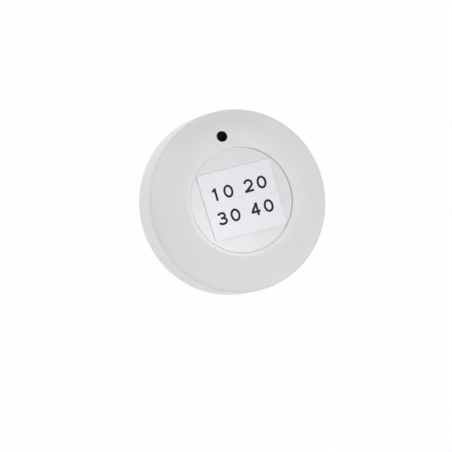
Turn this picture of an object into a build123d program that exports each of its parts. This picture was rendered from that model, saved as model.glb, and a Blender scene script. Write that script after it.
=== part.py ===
from build123d import *
import os
from math import degrees, tan, radians

# Lengths are in millimetres and angles in degrees. The back face lies on z = 0 and the front face
# looks along +Z. The sensor hole lies on the +Y side of the axis.

# Coin cell, size 2032
cell_diameter = 20.0
cell_height = 3.2
cell_edge = 0.4
cell_gasket_wall = 0.64
cell_cap_rise = 0.25
cell_crimp_width = 0.5
cell_floor = 0.3
cell_fit = 0.03

# Moulded walls of the case
side_wall = 1.22
face_wall = 1.3
side_draft = 1.8
crown_drop = 1.95
crown_land = 0.9
edge_fillet = 0.35
back_chamfer = 0.4
ceiling_slope_width = 3.3
ceiling_slope_drop = 1.3
mouth_chamfer = 0.2

# Recess in the middle of the front face
recess_floor_diameter = 18.4
recess_lip_width = 0.2
recess_depth = 0.3
recess_dish = 0.25
recess_lip_fillet = 0.1
recess_toe_fillet = 0.1
hinge_ring_diameter = 16.4
hinge_ring_width = 0.9
hinge_ring_depth = 0.25

# Press pip under the recess
pip_diameter = 1.8
pip_length = 0.4
pip_gap = 0.05

# Sensor hole and what lies under it
hole_diameter = 1.9
hole_seat_depth = 1.15
hole_fillet = 0.12
sensor_inset = 2.38
gasket_diameter = 3.8
gasket_bore_diameter = 2.1
gasket_pocket_diameter = 2.7
gasket_fit = 0.05
filter_thickness = 0.12
sensor_size = 1.5
sensor_height = 0.5
sensor_window_diameter = 0.6
sensor_window_depth = 0.1

# Label tape
label_length = 13.6
label_width = 12.0
label_corner = 0.4
label_thickness = 0.15
label_turn = -2.5
dish_steps = 4

# Back cover and its bayonet
cover_plate = 1.2
cover_edge = 0.25
ring_wall = 1.0
lug_reach = 1.0
lug_height = 0.7
lug_play = 0.1
cover_lug_height = 0.7
shoulder_width = 1.0
turn_clearance = 0.2
lug_count = 3
cover_lug_arc = 24.0
housing_lug_arc = 26.0
stop_arc = 3.0
stop_gap = 0.15
twist = 30.0
coin_slot_length = 14.0
coin_slot_width = 2.0
coin_slot_depth = 0.7
coin_slot_chamfer = 0.15
cover_rib_count = 6
cover_rib_width = 0.8
cover_rib_height = 0.3

# Seal between cover and housing, drawn squeezed
seal_width = 0.8
seal_height = 0.5
seal_corner = 0.2
seal_gap = 0.05

# Foam pad between cover and cell
pad_diameter = 14.0
pad_height = 0.5
pad_gap = 0.05
pad_corner = 0.15

# Battery frame
cell_clearance = 0.2
frame_wall = 0.8
frame_gap = 1.0
frame_height = 2.6
frame_lead_in = 0.3
frame_bridge = 0.6
ear_radius = 1.5
ear_thickness = 0.6
finger_notch_arc = 44.0
finger_notch_depth = 1.4
finger_notch_angle = 240.0

# Contacts, bent from strip
contact_height = 0.4
strip_thickness = 0.15
strip_bend = 0.18
plus_width = 3.0
plus_window_gap = 0.3
plus_foot = 1.5
plus_knee = 0.45
plus_bulge = 1.3
plus_tail = 0.35
plus_tail_spread = 0.3
plus_gap = 0.05
minus_base_length = 4.6
minus_base_width = 7.0
minus_finger_count = 3
minus_finger_width = 1.5
minus_finger_reach = 3.2
minus_tip = 0.9
minus_gap = 0.03

# Circuit board
board_thickness = 0.8
board_clearance = 0.2
notch_margin = 1.5
isolation_slot_width = 0.7
isolation_slot_gap = 0.45
isolation_slot_arc = 130.0
isolation_slot_angle = 270.0
pad_lift = 0.02

# Screws and the bosses that take them
screw_count = 3
screw_start_angle = 60.0
screw_diameter = 1.4
screw_head_diameter = 2.4
screw_head_height = 0.55
screw_grip = 1.2
screw_fit = 0.03
screw_gap = 0.1
screw_hole_clearance = 0.1
screw_cross_length = 1.3
screw_cross_width = 0.3
screw_cross_depth = 0.25
boss_diameter = 3.0
boss_rib_width = 0.8
boss_rib_height = 0.6

# Press switch under the pip
switch_length = 3.6
switch_width = 3.0
switch_height = 0.8
switch_sheet = 0.1
switch_tab_width = 0.7
plunger_diameter = 1.6
plunger_rise = 0.3
plunger_flange_diameter = 2.1
plunger_flange_height = 0.15
plunger_travel = 0.15
plunger_fit = 0.04
plunger_edge = 0.1

# Parts soldered on the front side of the board: length, width and height
radio_size = (6.0, 6.0, 0.85)
main_crystal_size = (3.2, 2.5, 0.7)
clock_crystal_size = (3.2, 1.5, 0.75)
antenna_size = (7.0, 2.0, 0.9)
bulk_capacitor_size = (3.2, 1.6, 1.1)
inductor_size = (2.0, 1.25, 0.9)
led_size = (1.6, 0.8, 0.55)
chip_size = (1.0, 0.5, 0.45)

# Their places on the board, and their turn where it isn't zero
radio_place = (-6.2, 0.0)
main_crystal_place = (-5.6, 5.3)
clock_crystal_place = (-5.6, -4.9)
antenna_inset = 2.6
bulk_capacitor_place = (6.2, -2.6, 90.0)
inductor_places = [(-1.2, -4.8), (2.0, -4.8)]
led_place = (5.6, 4.6)
led_resistor_place = (3.2, 3.2)
crystal_capacitor_place = (-8.6, 4.6)

# Rows and columns of small chips: decoupling beside the radio chip, antenna match, supply and sensor
decoupling_x = -2.4
decoupling_y = 3.4
decoupling_pitch = 1.5
match_y = -7.2
match_pitch = 2.6
supply_x = 8.2
supply_y = 1.0
supply_pitch = 2.8
sensor_chips_x = 3.5
sensor_chips_y = 8.4

# How far an added feature reaches into the wall that carries it
wall_bite = 0.3

# Heights above the back face, worked out from the stack
cell_z = cover_plate + pad_height + pad_gap
cell_top = cell_z + cell_height
board_z = cell_top + contact_height
board_top = board_z + board_thickness
switch_top = board_top + switch_height
plunger_top = switch_top + plunger_rise
ceiling_z = plunger_top + pip_gap + pip_length
case_thickness = ceiling_z + face_wall
shoulder_z = cover_plate + seal_height + seal_gap
shoulder_top = shoulder_z + lug_height
cover_lug_z = shoulder_top + lug_play
ring_top = cover_lug_z + cover_lug_height

# Radii, worked out from the cell outwards
cell_radius = cell_diameter / 2
frame_bore = cell_radius + cell_clearance
frame_radius = frame_bore + frame_wall
ring_bore = frame_radius + frame_gap
ring_radius = ring_bore + ring_wall
housing_lug_radius = ring_radius + turn_clearance
cover_lug_radius = ring_radius + lug_reach
shoulder_radius = cover_lug_radius + turn_clearance
bore_radius = shoulder_radius + shoulder_width
cover_radius = bore_radius - turn_clearance
board_radius = shoulder_radius - board_clearance
case_radius = bore_radius + side_wall
edge_z = case_thickness - crown_drop
edge_radius = case_radius - edge_z * tan(radians(side_draft))
sensor_offset = board_radius - sensor_inset
boss_circle = frame_radius + screw_gap + screw_head_diameter / 2

# Recess: floor height in the middle and at its edge
recess_edge_z = case_thickness - recess_depth
recess_centre_z = recess_edge_z - recess_dish
recess_floor_radius = recess_floor_diameter / 2
recess_lip_radius = recess_floor_radius + recess_lip_width
crown_start = recess_lip_radius + crown_land
hole_seat_z = case_thickness - hole_seat_depth

# Flat ground between the sensor hole and the lip of the recess, which bounds the fillet round the hole
hole_ground = sensor_offset - hole_diameter / 2 - recess_lip_radius - recess_lip_fillet

# Bayonet angles, with the locked cover lug centred on its housing lug
stop_gap_angle = degrees(stop_gap / housing_lug_radius)
locked_stop_start = cover_lug_arc / 2 + stop_gap_angle
locked_stop_end = locked_stop_start + stop_arc
open_stop_start = -twist - locked_stop_end
open_stop_end = -twist - locked_stop_start


def ring_sector(inner, outer, start, end):
    """Flat piece of a ring between two radii and two angles."""
    with BuildSketch(mode=Mode.PRIVATE) as sector:
        with BuildLine():
            rim = CenterArc((0, 0), outer, start, end - start)
            bore = CenterArc((0, 0), inner, start, end - start)
            Line(bore @ 0, rim @ 0)
            Line(bore @ 1, rim @ 1)
        make_face()
    return sector.sketch


def dished_sheet(thickness):
    """Half section of a sheet that lies on the dished floor of the recess, in short straight steps."""
    with BuildSketch(mode=Mode.PRIVATE) as section_face:
        with BuildLine():
            floor_arc = TangentArc(
                (0, recess_centre_z),
                (recess_floor_radius, recess_edge_z),
                tangent=(1, 0),
                mode=Mode.PRIVATE,
            )
            low = [floor_arc @ (step / dish_steps) for step in range(dish_steps + 1)]
            high = [point + Vector(0, thickness) for point in reversed(low)]
            Polyline(*low, *high, close=True)
        make_face()
    return section_face.sketch


def chip_block(size, places, edge=0.05):
    """Equal rectangular components that stand on the front side of the board."""
    length, width, height = size
    with BuildPart() as block:
        with BuildSketch(Plane.XY.offset(board_top)):
            for place in places:
                turn = place[2] if len(place) > 2 else 0
                with Locations(Location((place[0], place[1], 0), (0, 0, turn))):
                    Rectangle(length, width)
        extrude(amount=height)
        chamfer(block.faces().filter_by(Axis.Z).group_by(Axis.Z)[-1].edges(), length=edge)
    return block


# Front housing: a cup with a recessed face, bayonet lugs at its mouth and bosses under its face
lug_root = shoulder_radius + wall_bite
stop_root = bore_radius + wall_bite
housing_lug = ring_sector(housing_lug_radius, lug_root, -housing_lug_arc / 2, locked_stop_end)
locked_stop = ring_sector(housing_lug_radius, stop_root, locked_stop_start, locked_stop_end)
open_stop = ring_sector(housing_lug_radius, stop_root, open_stop_start, open_stop_end)

with BuildPart() as front_housing:
    with BuildSketch(Plane.XZ):
        with BuildLine():
            side = Polyline(
                (0, case_thickness),
                (0, 0),
                (case_radius - back_chamfer, 0),
                (case_radius, back_chamfer),
                (edge_radius, edge_z),
            )
            crown = TangentArc((crown_start, case_thickness), side @ 1, tangent=(1, 0))
            Line(crown @ 0, side @ 0)
        make_face()
        front_edge = vertices().sort_by_distance((edge_radius, edge_z))[0]
        fillet(front_edge, radius=edge_fillet)
    revolve(axis=Axis.Z)

    # Inside of the cup
    with BuildSketch(Plane.XZ):
        with BuildLine():
            Polyline(
                (0, 0),
                (bore_radius + mouth_chamfer, 0),
                (bore_radius, mouth_chamfer),
                (bore_radius, ceiling_z - ceiling_slope_drop),
                (bore_radius - ceiling_slope_width, ceiling_z),
                (0, ceiling_z),
                close=True,
            )
        make_face()
    revolve(axis=Axis.Z, mode=Mode.SUBTRACT)

    # Dished recess with a small rounded lip
    with BuildSketch(Plane.XZ):
        with BuildLine():
            floor = TangentArc((0, recess_centre_z), (recess_floor_radius, recess_edge_z), tangent=(1, 0))
            slope = Line(floor @ 1, (recess_lip_radius, case_thickness))
            Line(slope @ 1, (0, case_thickness))
            Line((0, case_thickness), floor @ 0)
        make_face()
        toe = vertices().sort_by_distance((recess_floor_radius, recess_edge_z))[0]
        fillet(toe, radius=recess_toe_fillet)
    revolve(axis=Axis.Z, mode=Mode.SUBTRACT)
    face_rims = front_housing.edges().filter_by(GeomType.CIRCLE).group_by(Axis.Z)[-1]
    fillet(face_rims.sort_by(SortBy.RADIUS)[0], radius=recess_lip_fillet)

    # Thinned ring round the press area, and the pip in its middle
    with BuildSketch(Plane.XY.offset(ceiling_z)):
        Circle(hinge_ring_diameter / 2)
        Circle(hinge_ring_diameter / 2 - hinge_ring_width, mode=Mode.SUBTRACT)
    extrude(amount=hinge_ring_depth, mode=Mode.SUBTRACT)
    with BuildSketch(Plane.XY.offset(ceiling_z - pip_length)):
        Circle(pip_diameter / 2)
    extrude(amount=pip_length)

    # Sensor hole, with a seat for the gasket behind it
    with BuildSketch(Plane.XY.offset(case_thickness)):
        with Locations((0, sensor_offset)):
            Circle(hole_diameter / 2)
    extrude(amount=-face_wall, mode=Mode.SUBTRACT)
    with BuildSketch(Plane.XY.offset(hole_seat_z)):
        with Locations((0, sensor_offset)):
            Circle(gasket_diameter / 2 + gasket_fit)
    extrude(amount=board_top - hole_seat_z, mode=Mode.SUBTRACT)
    hole_rim = front_housing.edges().sort_by_distance((0, sensor_offset, case_thickness))[0]
    fillet(hole_rim, radius=min(hole_fillet, hole_ground / 2))

    # Screw bosses, each tied to the wall by a rib
    with BuildSketch(Plane.XY.offset(board_top)):
        with PolarLocations(boss_circle, screw_count, start_angle=screw_start_angle):
            Circle(boss_diameter / 2)
    extrude(amount=ceiling_z - board_top)
    with BuildSketch(Plane.XY.offset(board_top + board_clearance)):
        with PolarLocations((boss_circle + bore_radius) / 2, screw_count, start_angle=screw_start_angle):
            Rectangle(bore_radius - boss_circle + wall_bite, boss_rib_width)
    extrude(amount=boss_rib_height)
    with BuildSketch(Plane.XY.offset(board_top)):
        with PolarLocations(boss_circle, screw_count, start_angle=screw_start_angle):
            Circle(screw_diameter / 2 + screw_fit)
    extrude(amount=screw_grip + screw_gap, mode=Mode.SUBTRACT)

    # Shoulder that the seal bears on, and the bayonet lugs with their stops
    with BuildSketch(Plane.XY.offset(shoulder_z)):
        Circle(stop_root)
        Circle(shoulder_radius, mode=Mode.SUBTRACT)
        with PolarLocations(0, lug_count):
            add(housing_lug)
    extrude(amount=lug_height)
    with BuildSketch(Plane.XY.offset(shoulder_top)):
        with PolarLocations(0, lug_count):
            add(locked_stop)
    extrude(amount=ring_top - shoulder_top)
    with BuildSketch(Plane.XY.offset(shoulder_top)):
        add(open_stop)
    extrude(amount=board_top - shoulder_top)
front_housing.part.label = "front_housing"
export_step(front_housing.part, "parts/front_housing.step")

# Label tape, lying on the dished floor
with BuildPart() as label_tape:
    with BuildSketch(Plane.XZ):
        add(dished_sheet(label_thickness))
    revolve(axis=Axis.Z)
    with BuildSketch(Plane.XY.offset(recess_centre_z)):
        with Locations(Location((0, 0, 0), (0, 0, label_turn))):
            RectangleRounded(label_length, label_width, label_corner)
    extrude(amount=recess_dish + label_thickness, mode=Mode.INTERSECT)
label_tape.part.label = "label_tape"
export_step(label_tape.part, "parts/label_tape.step")

# Back cover: a plate with a ring whose lugs turn behind the housing's lugs
cover_lug = ring_sector(ring_radius - wall_bite, cover_lug_radius, -cover_lug_arc / 2, cover_lug_arc / 2)
seal_seat_radius = cover_lug_radius
seal_rim_z = shoulder_z - lug_play

with BuildPart() as back_cover:
    with BuildSketch(Plane.XZ):
        with BuildLine():
            Polyline(
                (0, 0),
                (cover_radius - cover_edge, 0),
                (cover_radius, cover_edge),
                (cover_radius, cover_plate),
                (seal_seat_radius, cover_plate),
                (seal_seat_radius, seal_rim_z),
                (ring_radius, seal_rim_z),
                (ring_radius, ring_top),
                (ring_bore, ring_top),
                (ring_bore, cover_plate),
                (0, cover_plate),
                close=True,
            )
        make_face()
    revolve(axis=Axis.Z)
    with BuildSketch(Plane.XY.offset(cover_lug_z)):
        with PolarLocations(0, lug_count):
            add(cover_lug)
    extrude(amount=cover_lug_height)

    # Ribs between the foam pad and the ring
    rib_inner = pad_diameter / 2 + wall_bite
    with BuildSketch(Plane.XY.offset(cover_plate)):
        with PolarLocations((rib_inner + ring_bore + wall_bite) / 2, cover_rib_count):
            Rectangle(ring_bore + wall_bite - rib_inner, cover_rib_width)
    extrude(amount=cover_rib_height)

    # Coin slot
    with BuildSketch(Plane.XY):
        SlotOverall(coin_slot_length, coin_slot_width)
    extrude(amount=coin_slot_depth, mode=Mode.SUBTRACT)
    slot_mouth = back_cover.faces().sort_by(Axis.Z)[0].inner_wires()[0].edges()
    chamfer(slot_mouth, length=coin_slot_chamfer)
back_cover.part.label = "back_cover"
export_step(back_cover.part, "parts/back_cover.step")

# Seal, squeezed between the cover and the shoulder
with BuildPart() as cover_seal:
    with BuildSketch(Plane.XZ) as cover_seal_section:
        with Locations(((seal_seat_radius + cover_radius) / 2, cover_plate + seal_height / 2)):
            Rectangle(seal_width, seal_height)
        chamfer(cover_seal_section.vertices(), length=seal_corner)
    revolve(axis=Axis.Z)
cover_seal.part.label = "cover_seal"
export_step(cover_seal.part, "parts/cover_seal.step")

# Foam pad on the cover
with BuildPart() as cell_pad:
    with BuildSketch(Plane.XY.offset(cover_plate)):
        Circle(pad_diameter / 2)
    extrude(amount=pad_height)
    chamfer(cell_pad.edges().group_by(Axis.Z)[-1], length=pad_corner)
cell_pad.part.label = "cell_pad"
export_step(cell_pad.part, "parts/cell_pad.step")

# Coin cell: can, gasket and cap. The can's flat face looks at the cover
crimp_bore = cell_radius - cell_crimp_width
cap_radius = crimp_bore - cell_gasket_wall - 2 * cell_fit
crimp_z = cell_top - cell_cap_rise
inside_z = cell_z + cell_floor
crimp_edge = cell_crimp_width / 2

with BuildPart() as cell_can:
    with BuildSketch(Plane.XZ):
        with BuildLine():
            Polyline(
                (0, cell_z),
                (cell_radius - cell_edge, cell_z),
                (cell_radius, cell_z + cell_edge),
                (cell_radius, crimp_z - crimp_edge),
                (cell_radius - crimp_edge, crimp_z),
                (crimp_bore, crimp_z),
                (crimp_bore, inside_z),
                (0, inside_z),
                close=True,
            )
        make_face()
    revolve(axis=Axis.Z)
cell_can.part.label = "cell_can"
export_step(cell_can.part, "parts/cell_can.step")

with BuildPart() as cell_gasket:
    with BuildSketch(Plane.XY.offset(inside_z + cell_fit)):
        Circle(crimp_bore - cell_fit)
        Circle(cap_radius + cell_fit, mode=Mode.SUBTRACT)
    extrude(amount=crimp_z - inside_z)
cell_gasket.part.label = "cell_gasket"
export_step(cell_gasket.part, "parts/cell_gasket.step")

with BuildPart() as cell_cap:
    with BuildSketch(Plane.XY.offset(inside_z + cell_fit)):
        Circle(cap_radius)
    extrude(amount=cell_top - inside_z - cell_fit)
    chamfer(cell_cap.edges().group_by(Axis.Z)[-1], length=cell_cap_rise)
cell_cap.part.label = "cell_cap"
export_step(cell_cap.part, "parts/cell_cap.step")

# Battery frame: a ring round the cell, held by the board screws through its ears
cut_inner = frame_bore - wall_bite
cut_outer = frame_radius + wall_bite
plus_window_arc = 2 * degrees((plus_width / 2 + plus_window_gap) / frame_bore)
plus_window = ring_sector(cut_inner, cut_outer, -plus_window_arc / 2, plus_window_arc / 2)
finger_notch = ring_sector(cut_inner, cut_outer, -finger_notch_arc / 2, finger_notch_arc / 2)
frame_rim_z = board_z - frame_height

with BuildPart() as battery_frame:
    with BuildSketch(Plane.XZ):
        with BuildLine():
            Polyline(
                (frame_bore, board_z),
                (frame_radius, board_z),
                (frame_radius, frame_rim_z),
                (frame_bore + frame_lead_in, frame_rim_z),
                (frame_bore, frame_rim_z + frame_lead_in),
                close=True,
            )
        make_face()
    revolve(axis=Axis.Z)
    with BuildSketch(Plane.XY.offset(board_z)):
        with PolarLocations(boss_circle, screw_count, start_angle=screw_start_angle):
            Circle(ear_radius)
        with PolarLocations((frame_bore + boss_circle) / 2, screw_count, start_angle=screw_start_angle):
            Rectangle(boss_circle - frame_bore, 2 * ear_radius)
        Circle(frame_bore, mode=Mode.SUBTRACT)
    extrude(amount=-ear_thickness)
    with BuildSketch(Plane.XY.offset(board_z)):
        with PolarLocations(boss_circle, screw_count, start_angle=screw_start_angle):
            Circle(screw_diameter / 2 + screw_hole_clearance)
    extrude(amount=-ear_thickness, mode=Mode.SUBTRACT)
    with BuildSketch(Plane.XY.offset(board_z)):
        add(plus_window)
    extrude(amount=frame_bridge - frame_height, mode=Mode.SUBTRACT)
    with BuildSketch(Plane.XY.offset(frame_rim_z)):
        add(finger_notch, rotation=finger_notch_angle)
    extrude(amount=finger_notch_depth, mode=Mode.SUBTRACT)
battery_frame.part.label = "battery_frame"
export_step(battery_frame.part, "parts/battery_frame.step")

# Positive contact: a foot under the board and a sprung leaf against the can's side
strip_z = board_z - strip_thickness / 2
leaf_r = cell_radius + plus_gap + strip_thickness / 2

with BuildPart() as positive_contact:
    with BuildSketch(Plane.XZ.offset(-plus_width / 2)):
        with BuildLine() as leaf:
            FilletPolyline(
                (frame_radius + plus_foot, strip_z),
                (leaf_r + plus_knee + strip_bend, strip_z),
                (leaf_r + plus_knee, strip_z - plus_knee),
                (leaf_r, strip_z - plus_bulge),
                (leaf_r + plus_tail_spread, strip_z - plus_bulge - plus_tail),
                radius=strip_bend,
            )
        trace(leaf.line, line_width=strip_thickness)
    extrude(amount=plus_width)
positive_contact.part.label = "positive_contact"
export_step(positive_contact.part, "parts/positive_contact.step")

# Negative contact: a plate under the board with sprung fingers on the cell's cap
finger_z = cell_top + minus_gap + strip_thickness / 2

with BuildPart() as negative_contact:
    with BuildSketch(Plane.XY.offset(board_z)):
        with Locations((-minus_base_length / 2, 0)):
            Rectangle(minus_base_length, minus_base_width)
    extrude(amount=-strip_thickness)
    with BuildSketch(Plane.XZ.offset(-minus_base_width / 2)):
        with BuildLine() as finger:
            FilletPolyline(
                (-strip_bend, strip_z),
                (strip_bend, strip_z),
                (minus_finger_reach, finger_z),
                (minus_finger_reach + minus_tip, finger_z + strip_thickness / 2),
                radius=strip_bend,
            )
        trace(finger.line, line_width=strip_thickness)
    extrude(amount=minus_base_width)
    finger_gap = (minus_base_width - minus_finger_count * minus_finger_width) / (minus_finger_count - 1)
    with BuildSketch(Plane.XY.offset(cell_top)):
        with Locations(((minus_finger_reach + minus_tip) / 2 + strip_bend, 0)):
            with GridLocations(0, minus_finger_width + finger_gap, 1, minus_finger_count - 1):
                Rectangle(minus_finger_reach + minus_tip, finger_gap)
    extrude(amount=contact_height, mode=Mode.SUBTRACT)
negative_contact.part.label = "negative_contact"
export_step(negative_contact.part, "parts/negative_contact.step")

# Circuit board, notched to pass the lugs and keyed by the open stop
notch_radius = housing_lug_radius - board_clearance
notch_outer = board_radius + wall_bite
lug_notch = ring_sector(
    notch_radius,
    notch_outer,
    -housing_lug_arc / 2 - notch_margin,
    locked_stop_end + notch_margin,
)
key_notch = ring_sector(
    notch_radius,
    notch_outer,
    open_stop_start - notch_margin,
    open_stop_end + notch_margin,
)
isolation_radius = gasket_diameter / 2 + isolation_slot_gap + isolation_slot_width / 2
isolation_start = isolation_slot_angle - isolation_slot_arc / 2
isolation_arc = CenterArc((0, 0), isolation_radius, isolation_start, isolation_slot_arc, mode=Mode.PRIVATE)

with BuildPart() as circuit_board:
    with BuildSketch(Plane.XY.offset(board_z)):
        Circle(board_radius)
        with PolarLocations(0, lug_count):
            add(lug_notch, mode=Mode.SUBTRACT)
        add(key_notch, mode=Mode.SUBTRACT)
        with PolarLocations(boss_circle, screw_count, start_angle=screw_start_angle):
            Circle(screw_diameter / 2 + screw_hole_clearance, mode=Mode.SUBTRACT)
        with Locations((0, sensor_offset)):
            SlotArc(isolation_arc, isolation_slot_width, mode=Mode.SUBTRACT)
    extrude(amount=board_thickness)
circuit_board.part.label = "circuit_board"
export_step(circuit_board.part, "parts/circuit_board.step")

# Board screws, driven from the cell's side
ear_z = board_z - ear_thickness

with BuildPart() as board_screws:
    with BuildSketch(Plane.XY.offset(ear_z)):
        with PolarLocations(boss_circle, screw_count, start_angle=screw_start_angle):
            Circle(screw_head_diameter / 2)
    extrude(amount=-screw_head_height)
    chamfer(board_screws.edges().group_by(Axis.Z)[0], length=screw_head_height / 3)
    with BuildSketch(Plane.XY.offset(ear_z)):
        with PolarLocations(boss_circle, screw_count, start_angle=screw_start_angle):
            Circle(screw_diameter / 2)
    extrude(amount=ear_thickness + board_thickness + screw_grip)
    with BuildSketch(Plane.XY.offset(ear_z - screw_head_height)):
        with PolarLocations(boss_circle, screw_count, start_angle=screw_start_angle):
            Rectangle(screw_cross_length, screw_cross_width)
            Rectangle(screw_cross_width, screw_cross_length)
    extrude(amount=screw_cross_depth, mode=Mode.SUBTRACT)
board_screws.part.label = "board_screws"
export_step(board_screws.part, "parts/board_screws.step")

# Sensor chip, its dust filter and the foam gasket that leads the hole's air to it
with BuildPart() as sensor_chip:
    with BuildSketch(Plane.XY.offset(board_top)):
        with Locations((0, sensor_offset)):
            Rectangle(sensor_size, sensor_size)
    extrude(amount=sensor_height)
    with BuildSketch(Plane.XY.offset(board_top + sensor_height)):
        with Locations((0, sensor_offset)):
            Circle(sensor_window_diameter / 2)
    extrude(amount=-sensor_window_depth, mode=Mode.SUBTRACT)
sensor_chip.part.label = "sensor_chip"
export_step(sensor_chip.part, "parts/sensor_chip.step")

filter_z = board_top + sensor_height + gasket_fit
pocket_top = filter_z + filter_thickness + gasket_fit
gasket_top = hole_seat_z - gasket_fit

with BuildPart() as dust_filter:
    with BuildSketch(Plane.XY.offset(filter_z)):
        with Locations((0, sensor_offset)):
            Circle(gasket_pocket_diameter / 2 - gasket_fit)
    extrude(amount=filter_thickness)
dust_filter.part.label = "dust_filter"
export_step(dust_filter.part, "parts/dust_filter.step")

with BuildPart() as sensor_gasket:
    with BuildSketch(Plane.XY.offset(board_top)):
        with Locations((0, sensor_offset)):
            Circle(gasket_diameter / 2)
            Circle(gasket_bore_diameter / 2, mode=Mode.SUBTRACT)
    extrude(amount=gasket_top - board_top)
    with BuildSketch(Plane.XY.offset(board_top)):
        with Locations((0, sensor_offset)):
            Circle(gasket_pocket_diameter / 2)
    extrude(amount=pocket_top - board_top, mode=Mode.SUBTRACT)
sensor_gasket.part.label = "sensor_gasket"
export_step(sensor_gasket.part, "parts/sensor_gasket.step")

# Press switch: a base, a sheet frame round it and a plunger that travels in the frame's hole
sheet_z = switch_top - switch_sheet
flange_top = sheet_z - plunger_fit
flange_z = flange_top - plunger_flange_height
switch_pocket_z = flange_z - plunger_travel - plunger_fit
base_length = switch_length - 2 * switch_sheet

with BuildPart() as switch_base:
    with BuildSketch(Plane.XY.offset(board_top)):
        Rectangle(base_length, switch_width)
    extrude(amount=sheet_z - board_top)
    with BuildSketch(Plane.XY.offset(switch_pocket_z)):
        Circle(plunger_flange_diameter / 2 + plunger_fit)
    extrude(amount=sheet_z - switch_pocket_z, mode=Mode.SUBTRACT)
switch_base.part.label = "switch_base"
export_step(switch_base.part, "parts/switch_base.step")

with BuildPart() as switch_frame:
    with BuildSketch(Plane.XY.offset(sheet_z)):
        Rectangle(switch_length, switch_width)
        Circle(plunger_diameter / 2 + plunger_fit, mode=Mode.SUBTRACT)
    extrude(amount=switch_sheet)
    with BuildSketch(Plane.XY.offset(board_top)):
        with GridLocations(switch_length - switch_sheet, switch_width - switch_tab_width, 2, 2):
            Rectangle(switch_sheet, switch_tab_width)
    extrude(amount=switch_height)
switch_frame.part.label = "switch_frame"
export_step(switch_frame.part, "parts/switch_frame.step")

with BuildPart() as switch_plunger:
    with BuildSketch(Plane.XY.offset(flange_z)):
        Circle(plunger_flange_diameter / 2)
    extrude(amount=plunger_flange_height)
    with BuildSketch(Plane.XY.offset(flange_z)):
        Circle(plunger_diameter / 2)
    extrude(amount=plunger_top - flange_z)
    chamfer(switch_plunger.edges().group_by(Axis.Z)[-1], length=plunger_edge)
switch_plunger.part.label = "switch_plunger"
export_step(switch_plunger.part, "parts/switch_plunger.step")

# Soldered components
antenna_place = (0.0, antenna_inset - board_radius)
capacitor_places = [
    (decoupling_x, decoupling_y),
    (decoupling_x, decoupling_y + decoupling_pitch),
    crystal_capacitor_place,
    (-match_pitch, match_y),
    (0.0, match_y),
    (sensor_chips_x, sensor_chips_y),
    (supply_x, supply_y - supply_pitch / 2),
]
resistor_places = [
    led_resistor_place,
    (match_pitch, match_y),
    (-sensor_chips_x, sensor_chips_y),
    (supply_x, supply_y + supply_pitch / 2),
]
components = {
    "radio_chip": (radio_size, [radio_place]),
    "main_crystal": (main_crystal_size, [main_crystal_place]),
    "clock_crystal": (clock_crystal_size, [clock_crystal_place]),
    "chip_antenna": (antenna_size, [antenna_place]),
    "bulk_capacitor": (bulk_capacitor_size, [bulk_capacitor_place]),
    "inductors": (inductor_size, inductor_places),
    "indicator_led": (led_size, [led_place]),
    "capacitors": (chip_size, capacitor_places),
    "resistors": (chip_size, resistor_places),
}
for name, (size, places) in components.items():
    component = chip_block(size, places)
    component.part.label = name
    export_step(component.part, "parts/" + name + ".step")
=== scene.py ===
import math

import bmesh
import bpy
from mathutils import Matrix, Vector
from mathutils.geometry import delaunay_2d_cdt


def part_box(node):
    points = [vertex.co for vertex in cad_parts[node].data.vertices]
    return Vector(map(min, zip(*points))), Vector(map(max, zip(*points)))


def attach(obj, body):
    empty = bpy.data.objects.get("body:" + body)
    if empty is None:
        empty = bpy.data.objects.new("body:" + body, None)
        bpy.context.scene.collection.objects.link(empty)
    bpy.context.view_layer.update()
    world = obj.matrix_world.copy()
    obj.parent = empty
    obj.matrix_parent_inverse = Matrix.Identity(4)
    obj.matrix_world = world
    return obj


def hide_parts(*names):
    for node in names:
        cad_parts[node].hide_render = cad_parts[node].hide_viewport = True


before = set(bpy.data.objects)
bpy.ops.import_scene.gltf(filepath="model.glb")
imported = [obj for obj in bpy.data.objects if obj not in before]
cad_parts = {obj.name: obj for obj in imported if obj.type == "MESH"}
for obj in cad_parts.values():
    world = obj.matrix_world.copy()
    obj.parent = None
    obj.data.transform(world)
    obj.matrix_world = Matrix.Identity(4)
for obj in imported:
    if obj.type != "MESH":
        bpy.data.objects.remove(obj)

# A round white temperature sensor that lies on its back. The CAD nodes get their finishes, a crisp rim, a
# hand-cut label and its numbers are laid over them, and a floor, a sky, lamps and the photograph's camera go
# round them.

# Lengths are in millimetres unless they say otherwise, angles are in degrees, and tones are linear colours.
# Points closer together than the tolerance count as one.
MM = 0.001
TOLERANCE = 1e-4

# The photograph: its size, the pixel under the middle of the face, and the camera's distance and lens
PHOTO_SIZE = 452
FACE_PIXEL = (242.1, 199.98)
FACE_DEPTH = 266.1
FOCAL_PIXELS = 1524.9
SENSOR_WIDTH = 36.0
CLIP_START = 10.0

# How the face lies in the photograph: its tilt to the view, the lean of that tilt, and the hole's angle on it
TILT = 16.83
LEAN = 11.97
HOLE_TURN = 107.6

# The dished recess: its floor's height in the middle comes from the label, which lies there
FACE_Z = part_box("front_housing")[1].z / MM
DISH_CENTRE_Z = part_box("label_tape")[0].z / MM
DISH_RISE = 0.25
DISH_RADIUS = 9.2

# The rim laid round the recess: radius at its foot, lean and rounding of its wall, and outer radius
RIM_RADIUS = 9.31
RIM_LEAN = 0.03
RIM_ROUNDING = 0.05
RIM_ROUNDING_STEPS = 6
RIM_REACH = 9.65
RIM_STEPS = 288

# How the rim meets the solid: its top lies just under the face, its foot under the dish, its outer edge
# below its top at the end of a short slope, and its heel in the solid, behind the wall
TOP_SINK = 0.002
FOOT_SINK = 0.02
OUTER_DROP = 0.05
OUTER_SLOPE = 0.1
HEEL_WIDTH = 0.15

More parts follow.
